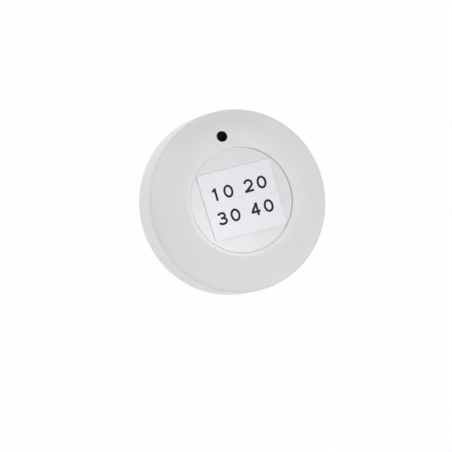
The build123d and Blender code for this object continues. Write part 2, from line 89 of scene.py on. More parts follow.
# Label: a hand-cut piece of tape, given by its four corners, from the upper left one round to the lower
# left one
LABEL_TURN = -1.9
LABEL_CORNERS = ((-6.88, 6.02), (6.82, 5.75), (6.86, -6.18), (-6.6, -5.78))
LABEL_ROUNDING = 0.45
LABEL_THICKNESS = 0.15
LABEL_CELLS = 26
CORNER_CELLS = 4

# The small bevel on the label's cut edges, how sharp an edge has to be to get it, and how much a face has to
# look up or down to be shaded smoothly
BEVEL_WIDTH = 0.03
BEVEL_STEPS = 2
BEVEL_ANGLE = 60.0
LEVEL_SLOPE = 0.5

# Printed scale numbers on the label: where each row starts, and the size of its digits
ROWS = (
    {"text": "10 20", "left": -5.25, "base": 0.97},
    {"text": "30 40", "left": -5.15, "base": -3.35},
)
DIGIT_HEIGHT = 2.3
DIGIT_WIDTH = 1.8
DIGIT_PITCH = 2.48
GAP_PITCH = 1.35
STROKE = 0.4
STROKE_STEP = 0.35
ARC_STEP = 10.0
INK_THICKNESS = 0.012

# Values between which Blender's noise mostly keeps
NOISE_RANGE = (0.3, 0.7)

# White moulded plastic: the sizes of its shading, sheen, flow clouds and grain, and how deep the last two are
SHADE_SIZE = 6.0
SHADE_SHARE = 0.985
SHEEN_SIZE = 1.6
CLOUD_SIZE = 4.0
CLOUD_DEPTH = 0.004
GRAIN_SIZE = 0.22
GRAIN_DEPTH = 0.0035
COVER_TONE = (0.77, 0.773, 0.775)

# The front housing, from its polished recess, which keeps a share of the grain, out to its grained face, and
# the soft roll of the face between them
POLISHED_RADIUS = 9.5
# The polished recess's tone is painted a little darker than the face, as shade
POLISHED_SHADE_TONE = (0.745, 0.75, 0.76)
POLISHED_ROUGHNESS = (0.2, 0.26)
POLISHED_PATCH_SIZE = 1.2
POLISHED_GRAIN = 0.12
GRAINED_RADIUS = 10.25
GRAINED_TONES = ((0.775, 0.78, 0.792), (0.787, 0.792, 0.805))
GRAINED_ROUGHNESS = (0.46, 0.56)
ROLL_DEPTH = 0.028

# Painted shade in the crease at the foot of the rim, standing in for the rim wall's shadow: its reach, how
# softly it ends at the wall, how patchy it is, and the direction where it is darkest, with the cosines of the
# angles from there at which it starts and is full
CREASE_SHADE_TONE = (0.424, 0.4187, 0.4081)
CREASE_SHADE_REACH = 0.09
CREASE_SHADE_END = 0.02
CREASE_SHADE_PATCH_SIZE = 0.8
CREASE_SHADE_SHARES = (0.8, 1.0)
CREASE_SHADE_TURN = 17.4
CREASE_SHADE_COSINES = (0.35, 0.78)

# Where the face's tints keep to: above the side wall, and only on what faces up
TINTED_HEIGHTS = (5.0, 6.0)
TINTED_SLOPES = (0.03, 0.2)

# The front edge, painted a little darker as shade along its fold: the radii where that starts and is full
EDGE_SHADE_TONE = (0.7, 0.704, 0.714)
EDGE_SHADE_RADII = (15.5, 16.25)
EDGE_SHADE_PATCH_SIZE = 2.5
EDGE_SHADE_SHARES = (0.7, 1.0)

# The darker patch on the face outside the sensor hole: radii, and cosines from the hole's
# direction, at which it starts and is full
PATCH_TONE = (0.71, 0.714, 0.726)
PATCH_RADII = (11.8, 14.7)
PATCH_COSINES = (0.74, 1.0)

# The sensor hole, and the black lining in it
HOLE_DIRECTION = 90.0
HOLE_OFFSET = 11.62
LINING_RADIUS = 0.96
LINING_END = 0.005
LINING_TONE = (0.012, 0.012, 0.013)

# The label: its film's roughness, its cut edges painted dark as shade, told by how little they face up, and
# the ink's gloss
LABEL_ROUGHNESS = (0.25, 0.31)
CUT_EDGE_SHADE_TONE = (0.58, 0.58, 0.58)
CUT_EDGE_SHADE_SLOPES = (0.3, 0.6)
INK_GLOSS = 0.15

# Inside parts: metal's grain, the switch's finer grain, and the tinned ends and corner marks of the chips
METAL_GRAIN = 0.12
METAL_RELIEF = 0.0012
SWITCH_GRAIN = {"grain": 0.08, "relief": 0.002}
TIN_TONE = (0.62, 0.6, 0.56)
TIN_END = 0.02
MARK_TONE = (0.09, 0.09, 0.09)
MARK_INSET = 0.15
MARK_RADII = (0.055, 0.06)

# The board: tracks under its solder mask, how much a face looks up or down to carry the mask, and the
# roughness of cut edge and mask
TRACKS = {
    "Color1": (0.012, 0.105, 0.05),
    "Color2": (0.014, 0.12, 0.056),
    "Mortar": (0.03, 0.2, 0.095),
    "Mortar Size": 0.07,
    "Brick Width": 2.6,
    "Row Height": 0.9,
}
MASK_SLOPES = (0.4, 0.6)
MASK_ROUGHNESS = (0.7, 0.3)

# Darker and lighter tone of the other materials
TONES = {
    "label_film": ((0.804, 0.811, 0.853), (0.822, 0.83, 0.868)),
    "label_ink": ((0.006, 0.0065, 0.009), (0.013, 0.014, 0.019)),
    "seal_rubber": ((0.03, 0.03, 0.032), (0.06, 0.06, 0.064)),
    "foam": ((0.008, 0.008, 0.009), (0.035, 0.035, 0.037)),
    "cell_steel": ((0.62, 0.62, 0.6), (0.74, 0.74, 0.72)),
    "cell_gasket_plastic": ((0.62, 0.61, 0.56), (0.7, 0.69, 0.64)),
    "frame_plastic": ((0.02, 0.02, 0.022), (0.045, 0.045, 0.048)),
    "spring_strip": ((0.62, 0.59, 0.53), (0.76, 0.73, 0.67)),
    "board_edge": ((0.36, 0.3, 0.14), (0.5, 0.43, 0.24)),
    "screw_steel": ((0.5, 0.5, 0.5), (0.64, 0.64, 0.65)),
    "chip_epoxy": ((0.016, 0.016, 0.017), (0.032, 0.032, 0.034)),
    "crystal_can": ((0.6, 0.58, 0.53), (0.74, 0.72, 0.66)),
    "antenna_ceramic": ((0.7, 0.69, 0.65), (0.8, 0.79, 0.76)),
    "bulk_ceramic": ((0.36, 0.24, 0.14), (0.46, 0.32, 0.2)),
    "capacitor_ceramic": ((0.36, 0.24, 0.14), (0.46, 0.32, 0.2)),
    "resistor_ceramic": ((0.02, 0.02, 0.022), (0.04, 0.04, 0.045)),
    "inductor_ferrite": ((0.07, 0.07, 0.075), (0.13, 0.13, 0.135)),
    "led_resin": ((0.72, 0.7, 0.48), (0.82, 0.8, 0.6)),
    "filter_mesh": ((0.003, 0.003, 0.003), (0.03, 0.03, 0.032)),
    "switch_plastic": ((0.02, 0.02, 0.02), (0.05, 0.05, 0.05)),
    "switch_sheet": ((0.6, 0.6, 0.58), (0.72, 0.72, 0.7)),
    "plunger_plastic": ((0.07, 0.07, 0.07), (0.12, 0.12, 0.12)),
}

# Studio floor, a light table. The camera sees nearly all of its light as glow. The object gets the table's
# share and strength of glow, and a greater share where it all but touches the floor.
WHITE = (1.0, 1.0, 1.0)
FLOOR_SPAN = 4000.0
FLOOR_DROP = 0.02
FLOOR_TONE = (0.95, 0.95, 0.95)
FLOOR_GLOW = 0.97
TABLE_SHARE = 0.5
TABLE_LEVEL = 1.1
NEAR_SHARE = 0.85
NEAR_START = 1.6
NEAR_END = 2.0

# Studio sky and soft lamps. The lamps' sizes are in millimetres and their powers in watts.
SKY_LEVEL = 0.2
LAMP_DISTANCE = 600.0
LAMPS = (
    {"name": "front", "azimuth": 272, "elevation": 53, "size": 800, "power": 2.2},
    {"name": "small", "azimuth": 14, "elevation": 66, "size": 110, "power": 0.75},
    {"name": "low_back", "azimuth": 77, "elevation": 10, "size": 350, "power": 0.9},
    {"name": "low_left", "azimuth": 137, "elevation": 10, "size": 350, "power": 1.15},
    {"name": "low_front", "azimuth": 217, "elevation": 10, "size": 350, "power": 0.35},
    {"name": "low_right", "azimuth": 342, "elevation": 15, "size": 350, "power": 0.22},
)


def add_object(name, data):
    """New object in the scene."""
    item = bpy.data.objects.new(name, data)
    bpy.context.scene.collection.objects.link(item)
    return item


def view_axes():
    """Object axes X, Y and Z as seen by the photograph's camera: right, down and away from it."""
    tilt, lean, turn = (math.radians(a) for a in (TILT, LEAN, HOLE_TURN))
    across = Vector((math.cos(lean), -math.sin(lean), 0.0))
    normal = Vector((math.sin(tilt) * across.x, math.sin(tilt) * across.y, -math.cos(tilt)))
    slope = Vector((math.cos(tilt) * across.x, math.cos(tilt) * across.y, math.sin(tilt)))
    upright = Vector((-math.sin(lean), -math.cos(lean), 0.0))
    right = math.cos(lean) * slope - math.sin(lean) * upright
    up = math.sin(lean) * slope + math.cos(lean) * upright
    hole = math.cos(turn) * right + math.sin(turn) * up
    side = math.sin(turn) * right - math.cos(turn) * up
    return side, hole, normal


def add_camera():
    """Camera at the photograph's viewing angle, distance and lens."""
    to_object = Matrix(view_axes())
    right = to_object @ Vector((1, 0, 0))
    up = to_object @ Vector((0, -1, 0))
    back = to_object @ Vector((0, 0, -1))
    offset = [(p - PHOTO_SIZE / 2) / FOCAL_PIXELS * FACE_DEPTH for p in FACE_PIXEL]
    eye = Vector((0, 0, FACE_Z)) - to_object @ Vector((*offset, FACE_DEPTH))
    data = bpy.data.cameras.new("camera")
    data.sensor_width = SENSOR_WIDTH
    data.lens = SENSOR_WIDTH * FOCAL_PIXELS / PHOTO_SIZE
    data.clip_start = CLIP_START * MM
    camera = add_object("camera", data)
    turned = Matrix((right, up, back)).transposed().to_4x4()
    camera.matrix_world = Matrix.Translation(eye * MM) @ turned
    bpy.context.scene.camera = camera


def add_lamp(name, azimuth, elevation, size, power):
    """Soft square lamp that looks at the object; its azimuth is counted from +X towards +Y."""
    around, above = math.radians(azimuth), math.radians(elevation)
    level = math.cos(above)
    toward = Vector((level * math.cos(around), level * math.sin(around), math.sin(above)))
    data = bpy.data.lights.new(name, "AREA")
    data.size = size * MM
    data.energy = power
    lamp = add_object(name, data)
    lamp.location = toward * LAMP_DISTANCE * MM
    lamp.rotation_mode = "QUATERNION"
    lamp.rotation_quaternion = (-toward).to_track_quat("-Z", "Y")
    lamp.visible_camera = False


def feed(tree, value, socket):
    """Links a node's output to a socket, or sets the socket to a plain value."""
    if isinstance(value, bpy.types.NodeSocket):
        tree.links.new(value, socket)
    elif socket.type == "RGBA":
        socket.default_value = (*value, 1)
    else:
        socket.default_value = value


def add_node(tree, kind, inputs=None, output=0, **settings):
    """Adds a node with its settings made and its inputs fed, and gives one of its outputs."""
    node = tree.nodes.new("ShaderNode" + kind)
    for name, value in settings.items():
        setattr(node, name, value)
    for socket, value in (inputs or {}).items():
        feed(tree, value, node.inputs[socket])
    return node.outputs[output]


def map_range(tree, value, low, high, start=0.0, end=1.0):
    """Number that runs from low to high while another one runs from start to end."""
    inputs = {"Value": value, "From Min": start, "From Max": end, "To Min": low, "To Max": high}
    return add_node(tree, "MapRange", inputs, "Result")


def larger(tree, one, other):
    """The larger of two nodes' numbers."""
    return add_node(tree, "Math", {0: one, 1: other}, operation="MAXIMUM")


def seen_directly(tree):
    """1 for rays from the camera, for reflections and for what is seen through glass."""
    path = tree.nodes.new("ShaderNodeLightPath").outputs
    sharp = larger(tree, path["Is Glossy Ray"], path["Is Transmission Ray"])
    return larger(tree, path["Is Camera Ray"], sharp)


def add_sky():
    """Even white sky that is dimmer for the object than for the camera, for gloss and for glass."""
    world = bpy.data.worlds.new("sky")
    world.use_nodes = True
    tree = world.node_tree
    tree.nodes.remove(tree.nodes["Background"])
    lit = add_node(tree, "Background", {"Color": WHITE, "Strength": SKY_LEVEL})
    seen = add_node(tree, "Background", {"Color": WHITE, "Strength": 1.0})
    sky = add_node(tree, "MixShader", {0: seen_directly(tree), 1: lit, 2: seen})
    feed(tree, sky, tree.nodes["World Output"].inputs["Surface"])
    bpy.context.scene.world = world


def floor_paper():
    """Pale light table: white for the camera, with the object's shadow on it, and clear from below."""
    material = bpy.data.materials.new("floor_paper")
    material.use_nodes = True
    tree = material.node_tree
    tree.nodes.remove(tree.nodes["Principled BSDF"])
    seen = seen_directly(tree)
    share = map_range(tree, seen, TABLE_SHARE, FLOOR_GLOW)
    length = add_node(tree, "LightPath", output="Ray Length")
    near = map_range(tree, length, NEAR_SHARE, 0.0, NEAR_START * MM, NEAR_END * MM)
    paper = add_node(tree, "BsdfDiffuse", {"Color": FLOOR_TONE})
    glow = add_node(tree, "Emission", {"Strength": map_range(tree, seen, TABLE_LEVEL, 1.0)})
    table = add_node(tree, "MixShader", {0: larger(tree, share, near), 1: paper, 2: glow})
    below = add_node(tree, "NewGeometry", output="Backfacing")
    clear = add_node(tree, "BsdfTransparent")
    whole = add_node(tree, "MixShader", {0: below, 1: table, 2: clear})
    feed(tree, whole, tree.nodes["Material Output"].inputs["Surface"])
    return material


def add_floor():
    """Wide floor a hair below the object."""
    half, height = FLOOR_SPAN / 2 * MM, -FLOOR_DROP * MM
    corners = ((-half, -half), (half, -half), (half, half), (-half, half))
    mesh = bpy.data.meshes.new("floor")
    mesh.from_pydata([(x, y, height) for x, y in corners], [], [(0, 1, 2, 3)])
    mesh.materials.append(floor_paper())
    floor = add_object("floor", mesh)


class Finish:
    """A node material under construction, with helpers that add patterns in the piece's own millimetres.

    Blender's Mix node has sockets of one name for numbers and for colours, so these go by their places.
    """

    def __init__(self, name, rough=0.5, metal=0.0):
        self.material = bpy.data.materials.new(name)
        self.material.use_nodes = True
        self.tree = self.material.node_tree
        self.shader = self.tree.nodes["Principled BSDF"]
        self.set("Roughness", rough)
        self.set("Metallic", metal)

    def set(self, socket, value):
        """Gives one of the shader's sockets a plain value or a pattern."""
        feed(self.tree, value, self.shader.inputs[socket])

    def node(self, kind, inputs=None, output=0, **settings):
        """Adds a node to the material, and gives one of its outputs."""
        return add_node(self.tree, kind, inputs, output, **settings)

    def ranged(self, value, low, high, start=0.0, end=1.0):
        """Number that runs from low to high while a pattern runs from start to end."""
        return map_range(self.tree, value, low, high, start, end)

    def place(self):
        """Place on the part, in metres."""
        return self.node("TexCoord", output="Object")

    def coords(self, size, stretch=(1, 1, 1)):
        """Coordinates in which a length of size millimetres counts as one."""
        scale = [s / (size * MM) for s in stretch]
        return self.node("Mapping", {"Vector": self.place(), "Scale": scale})

    def noise(self, size, detail=2.0, stretch=(1, 1, 1)):
        """Random pattern with patches about size millimetres wide, and finer ones as detail grows."""
        inputs = {"Vector": self.coords(size, stretch), "Scale": 1.0, "Detail": detail}
        return self.node("TexNoise", inputs, "Fac")

    def cells(self, size):
        """Distance from the middle of the nearest cell of a random pattern."""
        return self.node("TexVoronoi", {"Vector": self.coords(size), "Scale": 1.0}, "Distance")

    def patches(self, low, high, size, detail=3.0, stretch=(1, 1, 1)):
        """Random numbers from low to high, in patches about size millimetres wide."""
        return self.ranged(self.noise(size, detail, stretch), low, high, *NOISE_RANGE)

    def mottled(self, tones, size, detail=3.0, stretch=(1, 1, 1)):
        """Colours between two tones, in patches about size millimetres wide."""
        return self.blend(self.patches(0.0, 1.0, size, detail, stretch), *tones)

    def blend(self, share, low, high):
        """Colour between two others, each of them a tone or a pattern."""
        return self.node("Mix", {0: share, 6: low, 7: high}, 2, data_type="RGBA")

    def mixed(self, share, low, high):
        """Number between two patterns' numbers."""
        return self.node("Mix", {0: share, 2: low, 3: high})

    def times(self, first, *others):
        """Product of patterns."""
        for other in others:
            first = self.node("Math", {0: first, 1: other}, operation="MULTIPLY")
        return first

    def bump(self, height, depth, below=None, share=1.0):
        """Relief of the given depth in millimetres, laid on another relief and weakened by a share."""
        inputs = {"Height": height, "Distance": depth * MM, "Strength": share}
        if below is not None:
            inputs["Normal"] = below
        relief = self.node("Bump", inputs, "Normal")
        self.set("Normal", relief)
        return relief

    def along(self, axis):
        """Position along one axis of the part, in metres."""
        return self.node("SeparateXYZ", {"Vector": self.place()}, axis)

    def plan(self, offset=0.0):
        """Place seen along the part's axis, from a point that lies offset millimetres towards the hole."""
        inputs = {"Vector": self.place(), "Location": (0, -offset * MM, 0), "Scale": (1, 1, 0)}
        return self.node("Mapping", inputs)

    def from_axis(self, offset=0.0):
        """Distance in metres from the part's axis, or from a line offset millimetres towards the hole."""
        return self.node("VectorMath", {0: self.plan(offset)}, "Value", operation="LENGTH")

    def reached(self, length, start, end):
        """Share that goes from 0 to 1 while a length in metres goes from start to end, in millimetres."""
        return self.ranged(length, 0.0, 1.0, start * MM, end * MM)

    def toward(self, turn, start, end):
        """Share that goes from 0 to 1 near a direction about the part's axis, between two cosines."""
        aim = (math.cos(math.radians(turn)), math.sin(math.radians(turn)), 0)
        unit = self.node("VectorMath", {0: self.plan()}, "Vector", operation="NORMALIZE")
        cosine = self.node("VectorMath", {0: unit, 1: aim}, "Value", operation="DOT_PRODUCT")
        return self.ranged(cosine, 0.0, 1.0, start, end)

    def facing_up(self, start, end):
        """Share that is 0 on walls and 1 on faces that lie level, whether they look up or down."""
        normal = self.node("NewGeometry", output="Normal")
        rise = self.node("SeparateXYZ", {"Vector": normal}, "Z")
        return self.ranged(self.node("Math", {0: rise}, operation="ABSOLUTE"), 0.0, 1.0, start, end)


def moulded_white(name, tone, rough):
    """White moulded plastic: spark-eroded grain, faint flow clouds and uneven sheen."""
    f = Finish(name)
    darker = tuple(c * SHADE_SHARE for c in tone)
    f.set("Base Color", f.mottled((darker, tone), SHADE_SIZE))
    f.set("Roughness", f.patches(rough - 0.05, rough + 0.05, SHEEN_SIZE, detail=4.0))
    clouds = f.bump(f.noise(CLOUD_SIZE, detail=1.0), CLOUD_DEPTH)
    f.bump(f.noise(GRAIN_SIZE), GRAIN_DEPTH, clouds)
    return f.material


def painted_crease_shade(f, radius):
    """Share of painted shade in the crease at the foot of the rim: patchy, and darkest on one side."""
    wall = RIM_RADIUS + RIM_LEAN
    gathered = f.reached(radius, RIM_RADIUS - CREASE_SHADE_REACH, RIM_RADIUS - CREASE_SHADE_REACH / 2)
    within = f.reached(radius, wall + CREASE_SHADE_END, wall)
    patchy = f.patches(*CREASE_SHADE_SHARES, CREASE_SHADE_PATCH_SIZE)
    return f.times(gathered, within, patchy, f.toward(CREASE_SHADE_TURN, *CREASE_SHADE_COSINES))


def face_tints(f, radius, plastic):
    """The plastic with a darker patch beside the sensor hole and painted shade along the front edge."""
    upper = f.times(f.facing_up(*TINTED_SLOPES), f.reached(f.along("Z"), *TINTED_HEIGHTS))
    beside = f.times(f.reached(radius, *PATCH_RADII), f.toward(HOLE_DIRECTION, *PATCH_COSINES))
    # Painted shade: a darker band along the fold of the front edge
    edge = f.times(f.reached(radius, *EDGE_SHADE_RADII), f.patches(*EDGE_SHADE_SHARES, EDGE_SHADE_PATCH_SIZE))
    patched = f.blend(f.times(upper, beside), plastic, PATCH_TONE)
    return f.blend(f.times(upper, edge), patched, EDGE_SHADE_TONE)


def housing_white():
    """White moulded plastic: polished recess, its tone painted a little darker as shade, with painted shade
    in its crease, and fine grain outside.

    The front edge is painted a little darker as shade along its fold, the face is darker in a patch outside
    the sensor hole, and the hole is lined in black.
    """
    f = Finish("housing_plastic")
    radius = f.from_axis()
    outward = f.reached(radius, POLISHED_RADIUS, GRAINED_RADIUS)
    plastic = f.blend(outward, POLISHED_SHADE_TONE, f.mottled(GRAINED_TONES, SHADE_SIZE))
    # Painted shade: the crease at the rim's foot is darkened, most on one side
    crease_shaded = f.blend(painted_crease_shade(f, radius), plastic, CREASE_SHADE_TONE)
    lining = f.reached(f.from_axis(HOLE_OFFSET), LINING_RADIUS, LINING_RADIUS - LINING_END)
    f.set("Base Color", f.blend(lining, face_tints(f, radius, crease_shaded), LINING_TONE))
    polish = f.patches(*POLISHED_ROUGHNESS, POLISHED_PATCH_SIZE)
    satin = f.patches(*GRAINED_ROUGHNESS, SHEEN_SIZE, detail=4.0)
    f.set("Roughness", f.mixed(outward, polish, satin))
    inward = f.ranged(outward, 1.0, 0.0)
    roll = f.bump(f.times(inward, inward), -ROLL_DEPTH)
    clouds = f.bump(f.noise(CLOUD_SIZE, detail=1.0), CLOUD_DEPTH, roll)
    f.bump(f.noise(GRAIN_SIZE), GRAIN_DEPTH, clouds, f.ranged(outward, POLISHED_GRAIN, 1.0))
    return f.material


def label_film():
    """Laminated white tape: smooth film with fine lengthwise streaks, and cut edges painted dark as shade."""
    f = Finish("label_film")
    film = f.mottled(TONES["label_film"], size=0.5, stretch=(0.12, 1, 1))
    # Painted shade: the label's cut edges are darkened
    f.set("Base Color", f.blend(f.facing_up(*CUT_EDGE_SHADE_SLOPES), CUT_EDGE_SHADE_TONE, film))
    f.set("Roughness", f.patches(*LABEL_ROUGHNESS, size=1.2))
    f.bump(f.noise(size=0.9, stretch=(0.4, 1, 1)), depth=0.0025)
    return f.material


def label_ink():
    """Thermal print: nearly black, a little uneven."""
    f = Finish("label_ink", rough=0.5)
    f.set("Specular IOR Level", INK_GLOSS)
    f.set("Base Color", f.mottled(TONES["label_ink"], size=0.18))
    f.bump(f.noise(size=0.15), depth=0.001)
    return f.material


def plain_plastic(name, rough, grain=0.15, relief=0.003):
    """Moulded plastic with a fine grain."""
    f = Finish(name)
    f.set("Base Color", f.mottled(TONES[name], size=grain * 6, detail=4.0))
    f.set("Roughness", f.patches(rough - 0.06, rough + 0.06, size=grain * 3))
    f.bump(f.noise(grain), relief)
    return f.material


def metal(name, rough, stretch):
    """Plated or rolled metal, with its grain drawn out along one direction."""
    f = Finish(name, metal=1.0)
    lines = f.noise(METAL_GRAIN, detail=4.0, stretch=stretch)
    f.set("Base Color", f.blend(f.ranged(lines, 0.0, 1.0, *NOISE_RANGE), *TONES[name]))
    f.set("Roughness", f.patches(rough - 0.05, rough + 0.1, size=METAL_GRAIN * 8))
    f.bump(lines, METAL_RELIEF)
    return f.material


def turned_metal(name, rough):
    """Pressed can with faint rings round its axis."""
    f = Finish(name, metal=1.0)
    inputs = {"Vector": f.coords(size=0.6), "Scale": 1.0, "Distortion": 1.5, "Detail": 2.0}
    rings = f.node("TexWave", inputs, "Fac", wave_type="RINGS", rings_direction="Z")
    f.set("Base Color", f.mottled(TONES[name], size=2.5))
    f.set("Roughness", f.ranged(rings, rough - 0.04, rough + 0.08))
    f.bump(rings, depth=0.0008)
    return f.material


def foam():
    """Closed-cell foam: small round cells in near-black rubber."""
    f = Finish("foam", rough=0.85)
    pores = f.cells(size=0.12)
    f.set("Base Color", f.blend(f.ranged(pores, 0.0, 1.0, end=0.6), *TONES["foam"]))
    f.bump(pores, depth=0.02)
    return f.material


def seal_rubber():
    """Matte seal rubber with a dusty bloom."""
    f = Finish("seal_rubber")
    f.set("Base Color", f.mottled(TONES["seal_rubber"], size=1.0, detail=4.0))
    f.set("Roughness", f.patches(0.6, 0.8, size=0.5))
    f.bump(f.noise(size=0.08), depth=0.003)
    return f.material


def board_laminate():
    """Green solder mask over tracks, with bare laminate on the cut edges."""
    f = Finish("board_laminate")
    tracks = f.node("TexBrick", {"Vector": f.coords(size=1.0), "Scale": 1.0, **TRACKS}).node.outputs
    level = f.facing_up(*MASK_SLOPES)
    edge = f.mottled(TONES["board_edge"], size=0.3, stretch=(1, 1, 0.2))
    f.set("Base Color", f.blend(level, edge, tracks["Color"]))
    f.set("Roughness", f.ranged(level, *MASK_ROUGHNESS))
    f.bump(tracks["Fac"], depth=0.012)
    return f.material


def ended_ceramic(name, node, reach):
    """Ceramic body with tinned ends, which reach some way along the piece's longer side."""
    low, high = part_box(node)
    size = high - low
    axis = 0 if size.x > size.y else 1
    f = Finish(name, rough=0.45)
    middle = (low[axis] + high[axis]) / 2
    shift = f.node("Math", {0: f.along("XY"[axis]), 1: middle}, operation="SUBTRACT")
    apart = f.node("Math", {0: shift}, operation="ABSOLUTE")
    start = size[axis] / 2 / MM - reach
    ends = f.reached(apart, start, start + TIN_END)
    f.set("Base Color", f.blend(ends, f.mottled(TONES[name], size=0.15), TIN_TONE))
    f.set("Metallic", ends)
    f.bump(f.noise(size=0.1), depth=0.002)
    return f.material


def small_ceramic(name, rough):
    """Fired chip body with fine mottling."""
    f = Finish(name)
    f.set("Base Color", f.mottled(TONES[name], size=0.3, detail=4.0))
    f.set("Roughness", f.patches(rough - 0.08, rough + 0.08, size=0.2, detail=2.0))
    f.bump(f.noise(size=0.1), depth=0.002)
    return f.material


def chip_epoxy(name, node):
    """Moulded chip body with a round mark in one corner, sized by the chip's side."""
    low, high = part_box(node)
    side = high.x - low.x
    f = Finish(name, rough=0.55)
    corner = (low.x + side * MARK_INSET, high.y - side * MARK_INSET, high.z)
    apart = f.node("VectorMath", {0: f.place(), 1: corner}, "Value", operation="DISTANCE")
    mark = f.ranged(apart, 1.0, 0.0, *(side * share for share in MARK_RADII))
    f.set("Base Color", f.blend(mark, f.mottled(TONES["chip_epoxy"], size=0.12, detail=4.0), MARK_TONE))
    f.bump(f.noise(size=0.06), depth=0.003)
    return f.material


def clear_resin():
    """Water-clear resin over a small pale cup."""
    f = Finish("led_resin", rough=0.12)
    f.set("Base Color", f.mottled(TONES["led_resin"], size=0.4, detail=2.0))
    f.set("Coat Weight", 0.6)
    f.bump(f.noise(size=0.5, detail=1.0), depth=0.002)
    return f.material


def filter_mesh():
    """Fine woven dust mesh, from two crossed waves."""
    f = Finish("filter_mesh", rough=0.75)
    inputs = {"Vector": f.coords(size=0.25), "Scale": 1.0}
    weave = larger(f.tree, *(f.node("TexWave", inputs, "Fac", bands_direction=axis) for axis in "XY"))
    f.set("Base Color", f.blend(f.ranged(weave, 0.0, 1.0, start=0.2), *TONES["filter_mesh"]))
    f.bump(weave, depth=0.03)
    return f.material


def dress_nodes():
    """Gives each CAD node its finish, and hands on that of the front housing."""
    strip = metal("spring_strip", rough=0.28, stretch=(0.15, 1, 1))
    cell = turned_metal("cell_steel", rough=0.24)
    can = metal("crystal_can", rough=0.3, stretch=(0.3, 1, 1))
    soft = foam()
    finishes = {
        "front_housing": housing_white(),
        "back_cover": moulded_white("cover_plastic", COVER_TONE, rough=0.48),
        "cover_seal": seal_rubber(),
        "cell_pad": soft,
        "sensor_gasket": soft,
        "cell_can": cell,
        "cell_cap": cell,
        "cell_gasket": plain_plastic("cell_gasket_plastic", rough=0.5),
        "battery_frame": plain_plastic("frame_plastic", rough=0.5),
        "positive_contact": strip,
        "negative_contact": strip,
        "circuit_board": board_laminate(),
        "board_screws": metal("screw_steel", rough=0.35, stretch=(1, 1, 0.3)),
        "radio_chip": chip_epoxy("radio_chip_epoxy", "radio_chip"),
        "sensor_chip": chip_epoxy("sensor_chip_epoxy", "sensor_chip"),
        "main_crystal": can,
        "clock_crystal": can,
        "chip_antenna": ended_ceramic("antenna_ceramic", "chip_antenna", reach=0.9),
        "bulk_capacitor": ended_ceramic("bulk_ceramic", "bulk_capacitor", reach=0.5),
        "capacitors": small_ceramic("capacitor_ceramic", rough=0.5),
        "resistors": small_ceramic("resistor_ceramic", rough=0.35),
        "inductors": small_ceramic("inductor_ferrite", rough=0.6),
        "indicator_led": clear_resin(),
        "dust_filter": filter_mesh(),
        "switch_base": plain_plastic("switch_plastic", rough=0.45, **SWITCH_GRAIN),
        "switch_frame": metal("switch_sheet", rough=0.25, stretch=(1, 0.2, 1)),
        "switch_plunger": plain_plastic("plunger_plastic", rough=0.5, **SWITCH_GRAIN),
    }
    for node, material in finishes.items():
        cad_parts[node].material_slots[0].material = material
    return finishes["front_housing"]


def new_piece(name, mesh, material, body):
    """Puts a mesh into the scene as a piece that rides on a body."""
    mesh.materials.append(material)
    piece = add_object(name, mesh)
    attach(piece, body)
    return piece


def dish_z(x, y):
    """Height of the recess floor under a point."""
    return DISH_CENTRE_Z + DISH_RISE * (x * x + y * y) / DISH_RADIUS**2


def rim_section():
    """Outline of the rim, as radii and heights: heel, foot, rounded edge, top and outer edge."""
    top = FACE_Z - TOP_SINK
    wall = RIM_RADIUS + RIM_LEAN
    heel = (wall + HEEL_WIDTH, DISH_CENTRE_Z)
    foot = (RIM_RADIUS, DISH_CENTRE_Z + DISH_RISE - FOOT_SINK)
    edge = []
    for i in range(RIM_ROUNDING_STEPS + 1):
        angle = math.radians(90 * i / RIM_ROUNDING_STEPS)
        out, rise = RIM_ROUNDING * (1 - math.cos(angle)), RIM_ROUNDING * math.sin(angle)
        edge.append((wall + out, top - RIM_ROUNDING + rise))
    return [heel, foot, *edge, (RIM_REACH - OUTER_SLOPE, top), (RIM_REACH, top - OUTER_DROP)]


def add_rim(material):
    """Crisp rim of the recess: a ring with a steep inner wall, a rounded edge and a level top."""
    section = rim_section()
    around = [math.radians(360 * i / RIM_STEPS) for i in range(RIM_STEPS)]
    verts = [Vector((r * math.cos(a), r * math.sin(a), z)) * MM for a in around for r, z in section]
    count = len(section)
    faces = []
    for i in range(RIM_STEPS):
        near, far = i * count, (i + 1) % RIM_STEPS * count
        for j in range(count):
            k = (j + 1) % count
            faces.append((near + j, far + j, far + k, near + k))
    mesh = bpy.data.meshes.new("recess_rim")
    mesh.from_pydata(verts, [], faces)
    built = bmesh.new()
    built.from_mesh(mesh)
    bmesh.ops.recalc_face_normals(built, faces=built.faces)
    built.to_mesh(mesh)
    built.free()
    for face in mesh.polygons:
        face.use_smooth = True
    new_piece("recess_rim", mesh, material, "housing")


def corner_share():
    """Share of the label's side that a rounded corner takes up."""
    return LABEL_ROUNDING / (LABEL_CORNERS[1][0] - LABEL_CORNERS[0][0])


def grid_steps():
    """Places along a side of the label, closer together in the rounded corners."""
    share = corner_share()
    corner = [share * i / CORNER_CELLS for i in range(CORNER_CELLS)]
    middle = [share + (1 - 2 * share) * i / LABEL_CELLS for i in range(LABEL_CELLS + 1)]
    return corner + middle + [1 - s for s in reversed(corner)]


def rounded(u, v):
    """Point of the unit square with its corners drawn in to quarter circles."""
    share = corner_share()
    inner = (min(max(u, share), 1 - share), min(max(v, share), 1 - share))
    a, b = (u - inner[0]) / share, (v - inner[1]) / share
    return (
        inner[0] + share * a * math.sqrt(1 - b * b / 2),
        inner[1] + share * b * math.sqrt(1 - a * a / 2),
    )


def label_turned(spot):
    """A place on the label turned as the label is turned on the part."""
    return Matrix.Rotation(math.radians(LABEL_TURN), 2) @ spot


